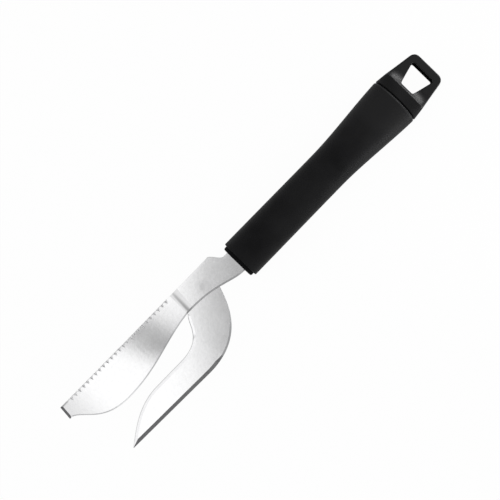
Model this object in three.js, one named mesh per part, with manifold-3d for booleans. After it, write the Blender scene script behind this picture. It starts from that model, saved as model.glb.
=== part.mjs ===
// Fish knife: a bowed, toothed scaling blade and a flat, hooked gutting blade, two steel sheets in a handle.
// Millimetres, +Z up, +X from the handle towards the blade tips, +Y on the gutting side.
// A station is a place along X, measured from the front face of the handle and positive towards the tips.

import * as THREE from 'three';
import { mergeVertices } from 'three/addons/utils/BufferGeometryUtils.js';
import Module from 'manifold-3d';

// Both sheets
const SHEET = 1.2; // thickness of each blade
const FIT = 0.15; // clearance between pieces that fit together
const TANG_LENGTH = 60; // reach of both blades into the handle
const TANG_WIDTH = 11.9; // the scaling blade inside the handle
const TANG_SHIFT = -0.75; // middle of that tang, off the handle's axis
const TANG_INSET = 1; // how far the gutting tang stays back on the gutting side
const TANG_HOLE = 4.4; // diameter of the locking holes
const TANG_HOLE_MARGIN = 15; // from a locking hole to the nearer end of the tang
const WELD_STATION = 19.3; // spot weld that joins the sheets at the neck
const WELD_SHIFT = -3.4;
const WELD_WIDTH = 3.8;
const WELD_DEPTH = 0.05;

// Scaling blade
const NECK_LENGTH = 31.2; // handle to the start of the step
const STEP_LENGTH = 2.8; // length over which the blade drops by one sheet
const SHOULDER_START = 2.6; // where the neck starts to widen to the toothed edge
const SHOULDER_LENGTH = 6;
const EDGE_OFFSET = 12; // handle axis to the toothed edge
const SCALER_REACH = 107.6; // handle to the chisel tip
const CROWN_STATION = 81; // highest place of the back
const CROWN_OFFSET = 8.1; // handle axis to the crown
const BOW_RADIUS = 350;
const CHISEL_WIDTH = 7; // length of the chisel edge
const CHISEL_SLANT = 0.9; // how much further its gutting-side corner reaches
const CHISEL_BEVEL = 1.2; // ground face of the chisel, seen from above

// Teeth, ground as notches that slope from the top face down to the lower rim of the edge
const TOOTH_PITCH = 2.65;
const NOTCH_WIDTH = 1.9; // at the edge
const NOTCH_DEPTH = 1.8; // from the edge, on the top face
const NOTCH_LAND = 0.15; // steel left under a notch at the edge
const TEETH_AFTER_STEP = 3.2; // step to the first notch
const TEETH_BEFORE_TIP = 6; // least distance from the last notch to the tip

// Gutting blade
const GUTTER_REACH = 98.1; // handle to the point
const BLADE_GAP = 5.6; // clear space between the crown of the scaling blade and the inner edge
const GUTTER_WIDTH = 13.85; // inner edge to outer edge
const HOOK_STATION = 13.8; // where the hook leaves the neck
const HOOK_ROOT = 1.2; // handle axis to the root of the hook, under the neck
const HOOK_LENGTH = 32.8; // from there to the straight outer edge
const CROTCH_GAP = 0.4; // between the two blades beside the step
const CROTCH_LENGTH = 18.9; // from the step to the straight inner edge
const POINT_LENGTH = 28.9; // curved part of the inner edge, before the point
const POINT_DROP = 1.05; // how far the outer edge falls from the hook to the point
const POINT_BLUNT = 0.4; // width left at the point
const OUTER_BEVEL = 1.8;
const OUTER_BEVEL_START = 36;
const OUTER_RUN_IN = 5.5; // length over which that bevel grows to its full width
const INNER_BEVEL = 1.5;
const INNER_RUN_IN = 2;

// Grip sleeve and the collar in front of it
const COLLAR_LENGTH = 1.95;
const COLLAR_ROUND = 0.9;
const GRIP_LENGTH = 105.45;
const GRIP_FRONT = 20.6; // diameter of the round front end
const GRIP_WAIST_WIDTH = 20.3;
const GRIP_WAIST_DEPTH = 18.8;
const GRIP_FLARE_WIDTH = 25.95; // full flare, which the grip almost reaches
const GRIP_FLARE_DEPTH = 18.6;
const FLARE_START = 61; // behind the handle's front face
const FLARE_LENGTH = 51.5;
const SLEEVE_WALL = 1.2;
const SLEEVE_ROUND = 0.5; // rounded rims of the sleeve
const LOCK_WIDTH = 4; // ring grooves in the core that lock the sleeve
const LOCK_DEPTH = 1;
const LOCK_INSET = 7; // from either end of the sleeve to a ring groove
const SHUT_GAP = 0.5; // open groove between the sleeve and the tail

// Tail with the hang hole
const TAIL_LENGTH = 22.5;
const TAIL_STEP = 0.25; // how far the tail lies under the grip's surface
const TAIL_END_WIDTH = 18.7;
const TAIL_CORNER = 3.4;
const STRIP_LENGTH = 5.4; // plain strip behind the sleeve, where the oval grip turns into a squarer tail
const TAIL_SQUARENESS = 1.5; // how much fuller the tail's corners are than an oval's, which has 1
const STRIP_DROP = 1.05; // fall of the strip towards the scoop
const SCOOP_LENGTH = 7.1; // hollow between the strip and the flat of the tab
const TAB_THICKNESS = 8;
const HOLE_SETBACK = 1.3; // strip to the narrow end of the hole
const HOLE_NARROW = 7.5;
const HOLE_END_BAR = 3.8; // material behind the hole
const HOLE_SIDE_BAR = 3.1; // material beside the wide end
const HOLE_CORNER_NARROW = 0.9;
const HOLE_CORNER_WIDE = 1.6;

// Curve handles, as shares of the length and height that a curve spans: first leaving, then arriving
const NECK_CURVE = [[0.26, 0], [0.555, 0]];
const BACK_CURVE = [[0.385, 0.245], [0.41, 0]];
const NOSE_CURVE = [[0.685, 0], [0.25, 0.2]];
const HOOK_CURVE = [[0.085, 0.3], [0.76, 0]];
const CROTCH_CURVE = [[0.23, 0.23], [0.85, 0]];
const POINT_CURVE = [[0.47, 0], [0.22, 0.36]];

// Facets
const RING_POINTS = 48;
const ROUND_STEPS = 4;
const CURVE_STEPS = 14;
const BODY_STEPS = 16;
const HOLE_SIDES = 24;
const HOOK_SPLITS = [0.4, 0.6]; // shares of the hook that face the step and the crotch
const PAST = 2; // how far a cutter runs past the material
const WELD_TOLERANCE = 1e-4;

const wasm = await Module();
wasm.setup();

const { smoothstep, lerp, clamp } = THREE.MathUtils;
const at = (x, y) => new THREE.Vector2(x, y);
const across = new THREE.Vector3(0, 1, 0);

const stepEnd = NECK_LENGTH + STEP_LENGTH;
const tangTop = TANG_SHIFT + TANG_WIDTH / 2;
const tangBottom = TANG_SHIFT - TANG_WIDTH / 2;
const gutterTangTop = tangTop - TANG_INSET;
const tangHoles = [-TANG_HOLE_MARGIN, TANG_HOLE_MARGIN - TANG_LENGTH];
const innerEdge = CROWN_OFFSET + BLADE_GAP;
const outerEdge = innerEdge + GUTTER_WIDTH;
const sleeveFront = -COLLAR_LENGTH;
const sleeveBack = sleeveFront - GRIP_LENGTH;
const tailFront = sleeveBack - SHUT_GAP;
const stripEnd = tailFront - STRIP_LENGTH;
const tailEnd = tailFront - TAIL_LENGTH;

// Closed surface to solid, and back
function solidOf(geometry) {
  const bare = geometry.clone();
  bare.deleteAttribute('normal');
  bare.deleteAttribute('uv');
  const merged = mergeVertices(bare, WELD_TOLERANCE);
  const mesh = new wasm.Mesh({
    numProp: 3,
    vertProperties: new Float32Array(merged.attributes.position.array),
    triVerts: new Uint32Array(merged.index.array),
  });
  return new wasm.Manifold(mesh);
}

function geometryOf(solid) {
  const mesh = solid.getMesh();
  const geometry = new THREE.BufferGeometry();
  geometry.setAttribute('position', new THREE.BufferAttribute(mesh.vertProperties, 3));
  geometry.setIndex(new THREE.BufferAttribute(mesh.triVerts, 1));
  geometry.computeVertexNormals();
  return geometry;
}

// Triangles turned to face out of the body that they enclose
function facingOut(index, points) {
  let volume = 0;
  for (let k = 0; k < index.length; k += 3) {
    const [a, b, c] = index.slice(k, k + 3).map((vertex) => points[vertex]);
    volume += a.dot(b.clone().cross(c));
  }
  return volume < 0 ? index.reverse() : index;
}

// Skin over a row of rings with equally many points, closed at both ends
function loft(rings) {
  const count = rings[0].length;
  const points = rings.flat();
  const last = points.length - count;
  const index = [];
  for (let row = 0; row < last; row += count) {
    for (let k = 0; k < count; k += 1) {
      const here = row + k;
      const next = row + (k + 1) % count;
      index.push(here, next, next + count, here, next + count, here + count);
    }
  }
  for (let k = 1; k + 1 < count; k += 1) {
    index.push(0, k + 1, k, last, last + k, last + k + 1);
  }
  const geometry = new THREE.BufferGeometry().setFromPoints(points);
  geometry.setIndex(facingOut(index, points));
  return solidOf(geometry);
}

// Outline in the XY plane, extruded along Z from one height to another
function plate(shape, low, high) {
  const geometry = new THREE.ExtrudeGeometry(shape, { depth: high - low, bevelEnabled: false });
  geometry.translate(0, 0, low);
  return solidOf(geometry);
}

// Upright round bar
function bar(x, y, diameter, low, high) {
  const geometry = new THREE.CylinderGeometry(diameter / 2, diameter / 2, high - low, HOLE_SIDES);
  geometry.rotateX(Math.PI / 2);
  geometry.translate(x, y, (low + high) / 2);
  return solidOf(geometry);
}

// Box between its lowest and highest corners
function box(low, high) {
  const size = high.clone().sub(low);
  const middle = low.clone().lerp(high, 1 / 2);
  const geometry = new THREE.BoxGeometry(size.x, size.y, size.z);
  geometry.translate(middle.x, middle.y, middle.z);
  return solidOf(geometry);
}

// Curve between two points with its handles given as shares of the span
function bend(start, end, [leave, arrive]) {
  const span = end.clone().sub(start);
  const first = span.clone().multiply(at(...leave)).add(start);
  const second = end.clone().sub(span.clone().multiply(at(...arrive)));
  return new THREE.CubicBezierCurve(start, first, second, end);
}

// Closed outline through corner points, each rounded over its own length
function roundedShape(corners) {
  const shape = new THREE.Shape();
  corners.forEach(({ point, round }, k) => {
    const before = corners.at(k - 1).point;
    const after = corners[(k + 1) % corners.length].point;
    const enter = point.clone().add(before.clone().sub(point).setLength(round));
    const leave = point.clone().add(after.clone().sub(point).setLength(round));
    if (k === 0) {
      shape.moveTo(enter.x, enter.y);
    } else {
      shape.lineTo(enter.x, enter.y);
    }
    if (round > 0) {
      shape.quadraticCurveTo(point.x, point.y, leave.x, leave.y);
    }
  });
  shape.closePath();
  return shape;
}

function drillTang(blade) {
  const drill = (solid, x) => solid.subtract(bar(x, TANG_SHIFT, TANG_HOLE, -SHEET - PAST, SHEET + PAST));
  return tangHoles.reduce(drill, blade);
}

// Middle of the scaling sheet: level over the tang and neck, down the step, then up along the bow
function scalerLine(x) {
  const share = clamp((x - NECK_LENGTH) / STEP_LENGTH, 0, 1);
  const drop = SHEET * smoothstep(x, NECK_LENGTH, stepEnd);
  const fall = (6 * share * (1 - share) * SHEET) / STEP_LENGTH;
  const run = Math.max(0, x - stepEnd);
  const level = Math.sqrt(BOW_RADIUS ** 2 - run ** 2);
  const angle = Math.atan(run / level - fall);
  return {
    point: new THREE.Vector3(x, 0, SHEET / 2 - drop + BOW_RADIUS - level),
    along: new THREE.Vector3(Math.cos(angle), 0, Math.sin(angle)),
    up: new THREE.Vector3(-Math.sin(angle), 0, Math.cos(angle)),
  };
}

// Toothed side of the scaling sheet: the tang, the shoulder of the neck and the straight edge
function scalerEdge(x) {
  const share = smoothstep(x, SHOULDER_START, SHOULDER_START + SHOULDER_LENGTH);
  return lerp(tangBottom, -EDGE_OFFSET, share);
}

// Back of the scaling sheet, from the end of the tang to just past the chisel tip
function scalerBack() {
  const crown = at(CROWN_STATION, CROWN_OFFSET);
  const tip = at(SCALER_REACH - CHISEL_BEVEL, CHISEL_WIDTH - EDGE_OFFSET);
  const neck = bend(at(0, tangTop), at(NECK_LENGTH, 0), NECK_CURVE);
  const step = new THREE.LineCurve(at(NECK_LENGTH, 0), at(stepEnd, 0));
  const back = bend(at(stepEnd, 0), crown, BACK_CURVE);
  const nose = bend(crown, tip, NOSE_CURVE);
  return [
    at(-TANG_LENGTH, tangTop),
    ...neck.getPoints(CURVE_STEPS),
    ...step.getPoints(2 * ROUND_STEPS).slice(1),
    ...back.getPoints(2 * CURVE_STEPS).slice(1),
    ...nose.getPoints(CURVE_STEPS).slice(1),
    at(SCALER_REACH + PAST, tip.y),
  ];
}

function scalerSheet() {
  const rings = scalerBack().map(({ x, y }) => {
    const { point, up } = scalerLine(x);
    const lower = point.clone().addScaledVector(up, -SHEET / 2);
    const upper = point.clone().addScaledVector(up, SHEET / 2);
    const edge = scalerEdge(x);
    return [lower.clone().setY(edge), upper.clone().setY(edge), upper.clone().setY(y), lower.clone().setY(y)];
  });
  return loft(rings);
}

// Cutter for one notch: a three-sided bar along the slope of the notch, at a station of the toothed edge
function notch(x) {
  const { point, along, up } = scalerLine(x);
  const slope = Math.atan2(SHEET - NOTCH_LAND, NOTCH_DEPTH);
  const reach = (SHEET - NOTCH_LAND) * Math.cos(slope);
  const height = reach + PAST;
  const half = (NOTCH_WIDTH / 2 / reach) * height;
  const profile = new THREE.Shape([at(0, 0), at(half, height), at(-half, height)]);
  const length = NOTCH_DEPTH / Math.cos(slope) + 2 * PAST;
  const cutter = new THREE.ExtrudeGeometry(profile, { depth: length, bevelEnabled: false });
  const open = up.clone().multiplyScalar(Math.cos(slope)).addScaledVector(across, -Math.sin(slope));
  const inward = across.clone().multiplyScalar(Math.cos(slope)).addScaledVector(up, Math.sin(slope));
  const root = point.clone().addScaledVector(up, NOTCH_LAND - SHEET / 2).setY(-EDGE_OFFSET);
  root.addScaledVector(inward, -PAST);
  cutter.applyMatrix4(new THREE.Matrix4().makeBasis(along.clone().negate(), open, inward).setPosition(root));
  return solidOf(cutter);
}

// All notches, evenly spaced along the bowed edge
function notches() {
  const cutters = [];
  const last = SCALER_REACH - TEETH_BEFORE_TIP;
  for (let x = stepEnd + TEETH_AFTER_STEP; x <= last; x += TOOTH_PITCH * scalerLine(x).along.x) {
    cutters.push(notch(x));
  }
  return cutters.reduce((all, cutter) => all.add(cutter));
}

// Everything beyond the ground face of the chisel tip
function chiselCut() {
  const { point, along, up } = scalerLine(SCALER_REACH);
  const rim = across.clone().multiplyScalar(CHISEL_WIDTH).addScaledVector(along, CHISEL_SLANT).normalize();
  const climb = up.clone().multiplyScalar(SHEET).addScaledVector(along, -CHISEL_BEVEL);
  const face = rim.clone().cross(climb).normalize();
  const rise = face.clone().cross(rim);
  const size = 2 * (EDGE_OFFSET + CROWN_OFFSET);
  const cutter = new THREE.BoxGeometry(size, size, size);
  const middle = point.clone().addScaledVector(up, -SHEET / 2).setY(CHISEL_WIDTH - EDGE_OFFSET);
  middle.addScaledVector(face, size / 2);
  cutter.applyMatrix4(new THREE.Matrix4().makeBasis(face, rim, rise).setPosition(middle));
  return solidOf(cutter);
}

// Shallow round mark that the spot weld leaves in the neck
function weldMark() {
  const radius = WELD_WIDTH / 2;
  const dish = new THREE.QuadraticBezierCurve(at(0, -WELD_DEPTH), at(radius / 2, -WELD_DEPTH), at(radius, 0));
  const profile = [...dish.getPoints(ROUND_STEPS), at(radius, PAST), at(0, PAST)];
  const mark = new THREE.LatheGeometry(profile, HOLE_SIDES);
  mark.rotateX(Math.PI / 2);
  mark.translate(WELD_STATION, WELD_SHIFT, SHEET);
  return solidOf(mark);
}

function scalingBlade() {
  return drillTang(scalerSheet().subtract(notches()).subtract(chiselCut()).subtract(weldMark()));
}

// Stretches of the gutting blade from the tang to the point: inner curve, outer curve, steps along both
function gutterStretches() {
  const line = (start, end) => new THREE.LineCurve(start, end);
  const behindStep = NECK_LENGTH - CROTCH_GAP;
  const corner = at(behindStep, CROTCH_GAP);
  const crotch = at(stepEnd, CROTCH_GAP);
  const bay = at(stepEnd + CROTCH_LENGTH, innerEdge);
  const rise = at(GUTTER_REACH - POINT_LENGTH, innerEdge);
  const root = at(HOOK_STATION, HOOK_ROOT);
  const heel = at(HOOK_STATION + HOOK_LENGTH, outerEdge);
  const point = at(GUTTER_REACH, outerEdge - POINT_DROP);
  const blunt = at(GUTTER_REACH, point.y - POINT_BLUNT);
  const opposite = heel.clone().lerp(point, (rise.x - heel.x) / (point.x - heel.x));
  const hook = bend(root, heel, HOOK_CURVE);
  const part = (from, to) => {
    const knots = Array.from({ length: CURVE_STEPS }, (_, k) => lerp(from, to, k / (CURVE_STEPS - 1)));
    return new THREE.SplineCurve(knots.map((share) => hook.getPoint(share)));
  };
  const [first, second] = HOOK_SPLITS;
  return [
    [line(at(-TANG_LENGTH, tangBottom), at(0, tangBottom)),
      line(at(-TANG_LENGTH, gutterTangTop), at(0, gutterTangTop)), 1],
    [line(at(0, tangBottom), at(behindStep, tangBottom)), line(at(0, gutterTangTop), root), 1],
    [line(at(behindStep, tangBottom), corner), part(0, first), 2 * ROUND_STEPS],
    [line(corner, crotch), part(first, second), ROUND_STEPS],
    [bend(crotch, bay, CROTCH_CURVE), part(second, 1), CURVE_STEPS],
    [line(bay, rise), line(heel, opposite), 1],
    [bend(rise, blunt, POINT_CURVE), line(opposite, point), CURVE_STEPS],
  ];
}

// Section of the gutting blade between a place on its inner edge and one on its outer edge
function gutterRing(inner, innerAlong, outer, outerAlong) {
  const innerWidth = INNER_BEVEL * smoothstep(inner.x, stepEnd, stepEnd + INNER_RUN_IN);
  const outerWidth = OUTER_BEVEL * smoothstep(outer.x, OUTER_BEVEL_START, OUTER_BEVEL_START + OUTER_RUN_IN);
  const room = inner.distanceTo(outer);
  const share = Math.min(1, room / (innerWidth + outerWidth));
  const innerTop = at(-innerAlong.y, innerAlong.x).multiplyScalar(innerWidth * share).add(inner);
  const outerTop = at(outerAlong.y, -outerAlong.x).multiplyScalar(outerWidth * share).add(outer);
  const top = SHEET * (share - 1);
  return [
    new THREE.Vector3(inner.x, inner.y, -SHEET),
    new THREE.Vector3(innerTop.x, innerTop.y, top),
    new THREE.Vector3(outerTop.x, outerTop.y, top),
    new THREE.Vector3(outer.x, outer.y, -SHEET),
  ];
}

function guttingBlade() {
  const rings = gutterStretches().flatMap(([inner, outer, steps], order) => {
    const shares = Array.from({ length: steps + 1 }, (_, k) => k / steps).slice(order === 0 ? 0 : 1);
    return shares.map((share) => gutterRing(
      inner.getPoint(share), inner.getTangent(share), outer.getPoint(share), outer.getTangent(share)));
  });
  return drillTang(loft(rings));
}

// Half width and half depth of the grip at a place along the handle
function gripSection(x) {
  const front = 1 - smoothstep(-x, 0, FLARE_START);
  const flare = smoothstep(-x, FLARE_START, FLARE_START + FLARE_LENGTH);
  const blend = (waist, full) => (waist + (GRIP_FRONT - waist) * front + (full - waist) * flare) / 2;
  return at(blend(GRIP_WAIST_WIDTH, GRIP_FLARE_WIDTH), blend(GRIP_WAIST_DEPTH, GRIP_FLARE_DEPTH));
}

// Oval ring across the handle, with fuller corners where its squareness is over 1
function oval(x, half, squareness = 1) {
  const fill = (value) => Math.sign(value) * Math.abs(value) ** (1 / squareness);
  return Array.from({ length: RING_POINTS }, (_, k) => {
    const angle = (2 * Math.PI * k) / RING_POINTS;
    return new THREE.Vector3(x, half.x * fill(Math.cos(angle)), half.y * fill(Math.sin(angle)));
  });
}

// Ring that lies inside the grip's surface by an inset
function insetOval(x, inset) {
  return oval(x, gripSection(x).subScalar(inset));
}

// Rings of a rounded rim, from the flat end face to the full section
function rim(end, inward, round, inset) {
  return Array.from({ length: ROUND_STEPS + 1 }, (_, k) => {
    const angle = (Math.PI / 2) * (k / ROUND_STEPS);
    const x = end + inward * round * (1 - Math.cos(angle));
    return insetOval(x, inset + round * (1 - Math.sin(angle)));
  });
}

// Evenly spaced rings between two stations, the ends left out
function run(from, to, steps, inset) {
  return Array.from({ length: steps - 1 }, (_, k) => insetOval(lerp(from, to, (k + 1) / steps), inset));
}

// Core inside the sleeve, with its two ring grooves. A gap makes it the sleeve's bore instead, which is wider
// all over and fills the grooves with ribs.
function spineBody(gap) {
  const skin = SLEEVE_WALL - gap;
  const groove = (start) => {
    const front = start - gap;
    const back = start - LOCK_WIDTH + gap;
    return [
      insetOval(front, skin),
      insetOval(front, skin + LOCK_DEPTH),
      insetOval(back, skin + LOCK_DEPTH),
      insetOval(back, skin),
    ];
  };
  const frontLock = sleeveFront - LOCK_INSET;
  const backLock = sleeveBack + LOCK_INSET + LOCK_WIDTH;
  return [
    ...groove(frontLock),
    ...run(frontLock - LOCK_WIDTH, backLock, BODY_STEPS, skin),
    ...groove(backLock),
  ];
}

function spine() {
  return loft([
    ...rim(0, -1, COLLAR_ROUND, SLEEVE_WALL),
    ...spineBody(0),
    insetOval(tailFront, SLEEVE_WALL),
    insetOval((tailFront + stripEnd) / 2, SLEEVE_WALL),
  ]);
}

function gripSleeve() {
  const skin = loft([
    ...rim(sleeveFront, -1, SLEEVE_ROUND, 0),
    ...run(sleeveFront - SLEEVE_ROUND, sleeveBack + SLEEVE_ROUND, BODY_STEPS, 0),
    ...rim(sleeveBack, 1, SLEEVE_ROUND, 0).reverse(),
  ]);
  const bore = loft([
    insetOval(sleeveFront + PAST, SLEEVE_WALL - FIT),
    ...spineBody(FIT),
    insetOval(sleeveBack - PAST, SLEEVE_WALL - FIT),
  ]);
  return skin.subtract(bore);
}

const tailSection = gripSection(sleeveBack).subScalar(TAIL_STEP);

// Half width of the tail's outline, which tapers in a straight line to its end
function tailHalf(x) {
  return lerp(tailSection.x, TAIL_END_WIDTH / 2, (x - tailFront) / (tailEnd - tailFront));
}

// Hollow above the tab: straight across the tail, rising in an arc from the flat to the edge of the strip
function scoop() {
  const rise = tailSection.y - STRIP_DROP - TAB_THICKNESS / 2;
  const radius = (SCOOP_LENGTH ** 2 + rise ** 2) / (2 * rise);
  const centre = at(stripEnd - SCOOP_LENGTH, TAB_THICKNESS / 2 + radius);
  const turn = Math.asin(SCOOP_LENGTH / radius);
  const height = tailSection.y + PAST;
  const profile = new THREE.Shape();
  profile.moveTo(tailEnd - PAST, TAB_THICKNESS / 2);
  profile.lineTo(centre.x, TAB_THICKNESS / 2);
  profile.absarc(centre.x, centre.y, radius, -Math.PI / 2, turn - Math.PI / 2, false);
  profile.lineTo(stripEnd, height);
  profile.lineTo(tailEnd - PAST, height);
  profile.closePath();
  const width = 2 * (tailSection.x + PAST);
  const geometry = new THREE.ExtrudeGeometry(profile, { depth: width, bevelEnabled: false });
  geometry.rotateX(Math.PI / 2);
  geometry.translate(0, width / 2, 0);
  return geometry;
}

// Hang hole: a rounded trapezium, wide at the end of the tail
function hangHole() {
  const narrow = stripEnd - HOLE_SETBACK;
  const wide = tailEnd + HOLE_END_BAR;
  const half = tailHalf(wide) - HOLE_SIDE_BAR;
  return roundedShape([
    { point: at(wide, half), round: HOLE_CORNER_WIDE },
    { point: at(wide, -half), round: HOLE_CORNER_WIDE },
    { point: at(narrow, -HOLE_NARROW / 2), round: HOLE_CORNER_NARROW },
    { point: at(narrow, HOLE_NARROW / 2), round: HOLE_CORNER_NARROW },
  ]);
}

function tail() {
  const low = tailSection.clone().sub(at(0, STRIP_DROP));
  const strip = Array.from({ length: ROUND_STEPS + 1 }, (_, k) => {
    const share = k / ROUND_STEPS;
    const half = tailSection.clone().lerp(low, share);
    return oval(lerp(tailFront, stripEnd, share), half, lerp(1, TAIL_SQUARENESS, share));
  });
  const bulk = loft([...strip, oval(tailEnd - PAST, low, TAIL_SQUARENESS)]);
  const outline = roundedShape([
    { point: at(tailFront + PAST, tailHalf(tailFront + PAST)), round: 0 },
    { point: at(tailEnd, tailHalf(tailEnd)), round: TAIL_CORNER },
    { point: at(tailEnd, -tailHalf(tailEnd)), round: TAIL_CORNER },
    { point: at(tailFront + PAST, -tailHalf(tailFront + PAST)), round: 0 },
  ]);
  const height = tailSection.y + PAST;
  const above = scoop();
  const below = above.clone().rotateX(Math.PI);
  return bulk
    .intersect(plate(outline, -height, height))
    .subtract(solidOf(above))
    .subtract(solidOf(below))
    .subtract(plate(hangHole(), -height, height));
}

// Room for both tangs in the core, left full where the locking pegs go through the tang holes
function tangSlot() {
  const back = -TANG_LENGTH - FIT;
  const floor = -SHEET - FIT;
  const roof = SHEET + FIT;
  const bottom = tangBottom - FIT;
  const scaler = box(new THREE.Vector3(back, bottom, -FIT), new THREE.Vector3(PAST, tangTop + FIT, roof));
  const gutter = box(new THREE.Vector3(back, bottom, floor), new THREE.Vector3(PAST, gutterTangTop + FIT, 0));
  const peg = (slot, x) => slot.subtract(bar(x, TANG_SHIFT, TANG_HOLE - 2 * FIT, floor - PAST, roof + PAST));
  return tangHoles.reduce(peg, scaler.add(gutter));
}

function handleCore() {
  return spine().add(tail()).subtract(tangSlot());
}

const steel = { color: 0xc8c9ca, roughness: 0.28, metalness: 1 };
const hardPlastic = { color: 0x1b1b1c, roughness: 0.42, metalness: 0 };
const softPlastic = { color: 0x1d1d1e, roughness: 0.68, metalness: 0 };

const pieces = [
  ['scaling_blade', scalingBlade(), steel],
  ['gutting_blade', guttingBlade(), steel],
  ['handle_core', handleCore(), hardPlastic],
  ['grip_sleeve', gripSleeve(), softPlastic],
];

const knife = new THREE.Group();
for (const [name, solid, finish] of pieces) {
  const piece = new THREE.Mesh(geometryOf(solid), new THREE.MeshStandardMaterial(finish));
  piece.name = name;
  knife.add(piece);
}

// The origin lies under the middle of the knife, on the plane that its lowest point touches
const extent = new THREE.Box3().setFromObject(knife);
const middle = extent.getCenter(new THREE.Vector3());
knife.position.set(-middle.x, -middle.y, -extent.min.z);

const part = new THREE.Group();
part.add(knife);

export default part;
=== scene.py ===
"""Looks of the fish knife: finely built blades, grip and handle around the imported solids.

Shapes are worked out in millimetres from the middle of the handle's front face, as in the part's source:
+X towards the blade tips, +Y on the gutting side, +Z up. piece() puts them into the frame in metres.
"""
import math

import bmesh
import bpy
import numpy as np
from mathutils import Matrix, Vector

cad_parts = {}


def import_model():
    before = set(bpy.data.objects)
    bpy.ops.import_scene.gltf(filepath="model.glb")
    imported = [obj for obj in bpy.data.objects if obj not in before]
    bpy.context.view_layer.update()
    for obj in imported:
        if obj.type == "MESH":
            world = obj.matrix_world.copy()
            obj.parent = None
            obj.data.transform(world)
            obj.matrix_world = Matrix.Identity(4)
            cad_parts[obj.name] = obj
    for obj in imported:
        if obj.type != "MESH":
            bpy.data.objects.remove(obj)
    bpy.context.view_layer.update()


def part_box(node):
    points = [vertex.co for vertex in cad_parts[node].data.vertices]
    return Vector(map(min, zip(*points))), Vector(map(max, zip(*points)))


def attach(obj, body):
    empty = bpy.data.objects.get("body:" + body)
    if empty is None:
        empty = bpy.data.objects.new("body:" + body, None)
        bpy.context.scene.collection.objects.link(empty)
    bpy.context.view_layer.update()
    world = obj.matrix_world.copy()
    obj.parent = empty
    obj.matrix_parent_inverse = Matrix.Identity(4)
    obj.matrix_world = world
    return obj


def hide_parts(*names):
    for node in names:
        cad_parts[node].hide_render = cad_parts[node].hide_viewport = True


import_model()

MM = 0.001

# Sheets. Rims are widths seen from above, and RIM_FALL is their height as a share of that
SHEET = 1.2
FIT = 0.15  # around the tangs and inside the sleeve
TANG_LENGTH = 60
TANG_TOP = 5.2
TANG_BOTTOM = -6.7
GUTTER_TANG_TOP = 4.2
NECK_RIM = 0.9
BOW_RIM = 0.65
TOOTH_RIM = 0.15
TIP_RIM = 0.9
HOOK_RIM = (0.4, 1.0)  # at the root of the hook and past it
HOOK_RIM_GROWS = (15, 27)  # stations between them
CROTCH_RIM = 0.1
RIM_FALL = 0.6
WELD_PLACE = (19.3, -3.4)
WELD_RADIUS = 2.4
WELD_DEPTH = 0.004

# Scaling blade
NECK_LENGTH = 31.2
STEP_LENGTH = 2.8
STEP_END = NECK_LENGTH + STEP_LENGTH
STEP_TURN = 0.6  # share of the step at which it is steepest
STEP_ENDS = (0.22, 0.28)  # slopes at its start and end, as shares of the steepest
SOFT_STEP = (1.2, 2.4)  # how much sooner its top side starts, at the back and at the toothed edge
PULL_LENGTH = 8
STEP_PULL = (NECK_LENGTH - PULL_LENGTH, NECK_LENGTH, STEP_END)  # rows of the mesh start, follow and end
TINY = 1e-6
SHOULDER_START = 2.6
SHOULDER_LENGTH = 6
SHOULDER_END = SHOULDER_START + SHOULDER_LENGTH
SHOULDER_RIM = 0.3
SHOULDER_RIM_FADES = (SHOULDER_END - 2, SHOULDER_END + 1)
EDGE = -12.0
SCALER_REACH = 107.6
CROWN = (81.0, 8.1)
BOW_RADIUS = 350
BOW_EASE = (0.5, 13)  # share by which the bow starts flatter, and the length over which this fades
CHISEL_WIDTH = 7.0
CHISEL_SLANT = 0.6
CHISEL_BEVEL = 1.2
TOOTH_PITCH = 2.65
NOTCH_HALF = 1.05
NOTCH_DEPTH = 2.0
NOTCH_LAND = 0.15
TEETH_AFTER_STEP = 3.2
TEETH_BEFORE_TIP = 6
TIP_LAND = 0.02
TIP_RUN_IN = 1.5

# Gutting blade
GUTTER_REACH = 98.1
INNER_EDGE = 13.7
OUTER_EDGE = 27.55
HOOK_ROOT = (13.8, 1.2)
HOOK_LENGTH = 32.8
CROTCH_GAP = 0.12
CROTCH_LENGTH = 18.9
POINT_LENGTH = 28.9
POINT_DROP = 1.05
POINT_BLUNT = 0.4
OUTER_BEVEL = 1.8
OUTER_BEVEL_START = 36
OUTER_RUN_IN = 5.5
OUTER_PAINTED_DARK_START = OUTER_BEVEL_START + OUTER_RUN_IN / 8  # where its ground face starts to get a painted dark reflection
INNER_BEVEL = 1.5
INNER_RUN_IN = 0.8
BEVEL_LAND = 0.06
CROTCH_SHADE_LINE = (35.2, 41.5)  # stations of the painted shade line along the crotch
CROTCH_BEVEL_END = (39.5, 41.5)

# Shares of a bevel's width and height that its outermost strip takes
EVEN_BEVEL = (0.25, 0.25)
HONED_BEVEL = (0.22, 0.45)
CROTCH_BEVEL = (0.25, 0.95)

# Handle
COLLAR_LENGTH = 1.95
COLLAR_ROUND = 0.9
CUTTER_PAST = 2.0  # how far the cutter for the tangs' slot goes past the collar
GRIP_LENGTH = 105.45
GRIP_FRONT = 20.6
GRIP_WAIST = (20.3, 18.8)
GRIP_FLARE = (25.95, 18.6)
FLARE_START = 61
FLARE_LENGTH = 51.5
SLEEVE_WALL = 1.2
SLEEVE_ROUND = 0.5
SLEEVE_REAR_ROUND = 1.0
# Rings of the sleeve's rear rim that get a painted highlight
HIGHLIGHT_RINGS = 9
SHUT_GAP = 0.5
SLEEVE_FRONT = -COLLAR_LENGTH
SLEEVE_BACK = SLEEVE_FRONT - GRIP_LENGTH
TAIL_FRONT = SLEEVE_BACK - SHUT_GAP
TAIL_LENGTH = 22.5
TAIL_END = TAIL_FRONT - TAIL_LENGTH
TAIL_STEP = 0.1
TAIL_END_HALF = 9.35
TAIL_CORNER = 3.4
TAIL_FRONT_CORNER = 0.05
STRIP_LENGTH = 5.4
STRIP_END = TAIL_FRONT - STRIP_LENGTH
TAIL_SQUARENESS = 1.8
STRIP_DROP = 1.05
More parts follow.
